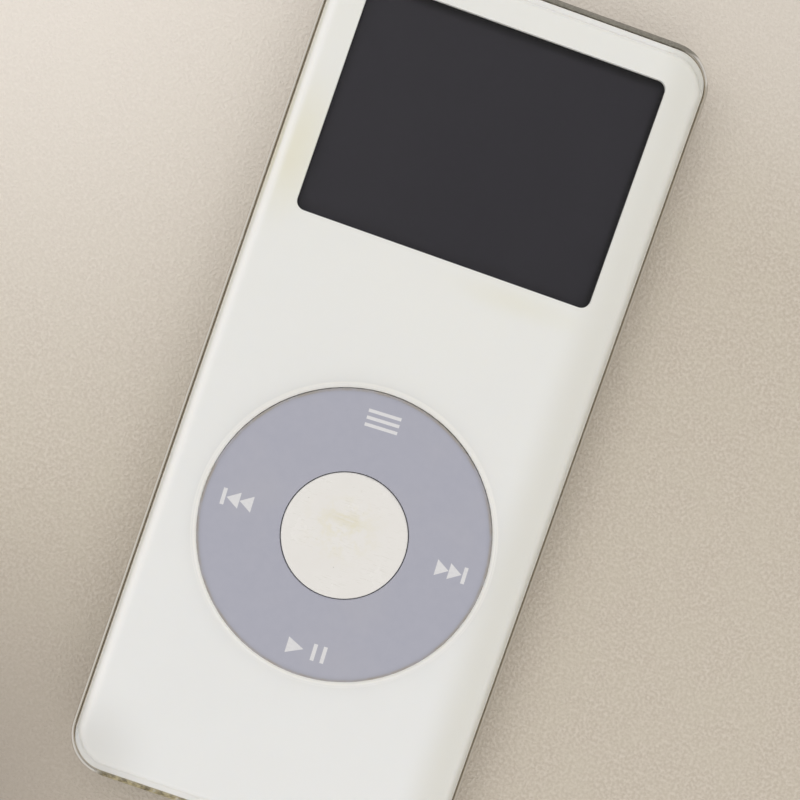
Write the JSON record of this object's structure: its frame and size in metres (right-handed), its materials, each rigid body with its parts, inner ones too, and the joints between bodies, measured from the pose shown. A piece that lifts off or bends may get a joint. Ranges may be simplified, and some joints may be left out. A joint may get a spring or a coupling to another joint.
{
  "type": "digital audio player",
  "caption": "Pocket digital audio player: polished steel back, clear-over-white plastic front, touch wheel, centre button and small display.",
  "frame": {"origin": "under the middle of the player, on the plane of its flat steel back", "axes": "+X to the right seen from the front, +Y towards the display end, +Z out of the front face"},
  "size_m": [0.04, 0.0902, 0.0069],
  "materials": {
    "polished_steel": "mirror-polished stainless steel with fine scratches",
    "clear_plastic": "clear polycarbonate, glossy",
    "white_plastic": "white polycarbonate, slightly aged",
    "wheel_plastic": "lavender grey, satin",
    "button_plastic": "warm white, semi-gloss",
    "frame_plastic": "moulded frame",
    "display_film": "charcoal polarizer, satin",
    "display_glass": "display glass",
    "foam": "black foam",
    "seal_rubber": "brown-grey soft bead with dust in the seam",
    "board_laminate": "circuit board with solder mask",
    "chip_resin": "black moulding compound",
    "stamped_steel": "stamped sheet",
    "spring_contact": "gold-plated contacts",
    "polyimide": "amber flexible circuit",
    "cell_pouch": "laminated foil pouch",
    "lead_sleeve": "insulated leads",
    "socket_plastic": "white nylon of jack and hold switch",
    "orange_mark": "orange indicator"
  },
  "bodies": {
    "root": {"rear_case": "polished_steel", "case_clips": "stamped_steel", "seam_seal": "seal_rubber", "front_cover": "clear_plastic", "front_backing": "white_plastic", "inner_frame": "frame_plastic", "wheel_seat_plate": "stamped_steel", "wheel_switch_flex": "polyimide", "menu_play_domes": "stamped_steel", "skip_domes": "stamped_steel", "select_dome": "stamped_steel", "seat_screws": "stamped_steel", "display_panel": "display_glass", "display_polarizer": "display_film", "display_backlight": "socket_plastic", "display_gasket": "foam", "display_frame": "stamped_steel", "display_flex": "polyimide", "display_connector": "frame_plastic", "logic_board": "board_laminate", "board_screws": "stamped_steel", "processor": "chip_resin", "sdram": "chip_resin", "audio_codec": "chip_resin", "power_manager": "chip_resin", "flash_memory": "chip_resin", "power_inductors": "chip_resin", "shield_can": "stamped_steel", "board_capacitors": "spring_contact", "board_resistors": "chip_resin", "crystal": "stamped_steel", "wheel_connector": "frame_plastic", "insulator_sheet": "polyimide", "battery_pad": "foam", "battery_cell": "cell_pouch", "protection_board": "board_laminate", "battery_leads": "lead_sleeve", "battery_connector": "frame_plastic", "dock_shell": "stamped_steel", "dock_insulator": "frame_plastic", "dock_contacts": "spring_contact", "jack_body": "socket_plastic", "jack_contacts": "spring_contact", "hold_bezel": "socket_plastic", "hold_indicator": "orange_mark", "hold_switch": "frame_plastic", "hold_flex": "polyimide"},
    "wheel_rocker": {"wheel_rocker_ring": "stamped_steel"},
    "wheel": {"touch_wheel": "wheel_plastic", "wheel_sensor_board": "board_laminate"},
    "select": {"select_button": "button_plastic"},
    "hold": {"hold_slider": "socket_plastic", "hold_lever": "frame_plastic"}
  },
  "joints": [
    {"name": "select_press", "type": "slide", "parent": "root", "child": "select", "axis": [0, 0, -1], "range_m": [0, 0.0002], "stiffness_N_per_m": 6000},
    {"name": "menu_play_rock", "type": "hinge", "parent": "root", "child": "wheel_rocker", "pos_m": [0, -0.01308, 0.0043], "axis": [1, 0, 0], "range_deg": [-0.75, 0.75], "stiffness_Nm_per_rad": 1.4},
    {"name": "skip_rock", "type": "hinge", "parent": "wheel_rocker", "child": "wheel", "pos_m": [0, -0.01308, 0.0043], "axis": [0, 1, 0], "range_deg": [-0.75, 0.75], "stiffness_Nm_per_rad": 1.4},
    {"name": "hold_slide", "type": "slide", "parent": "root", "child": "hold", "axis": [1, 0, 0], "range_m": [0, 0.0018]}
  ]
}
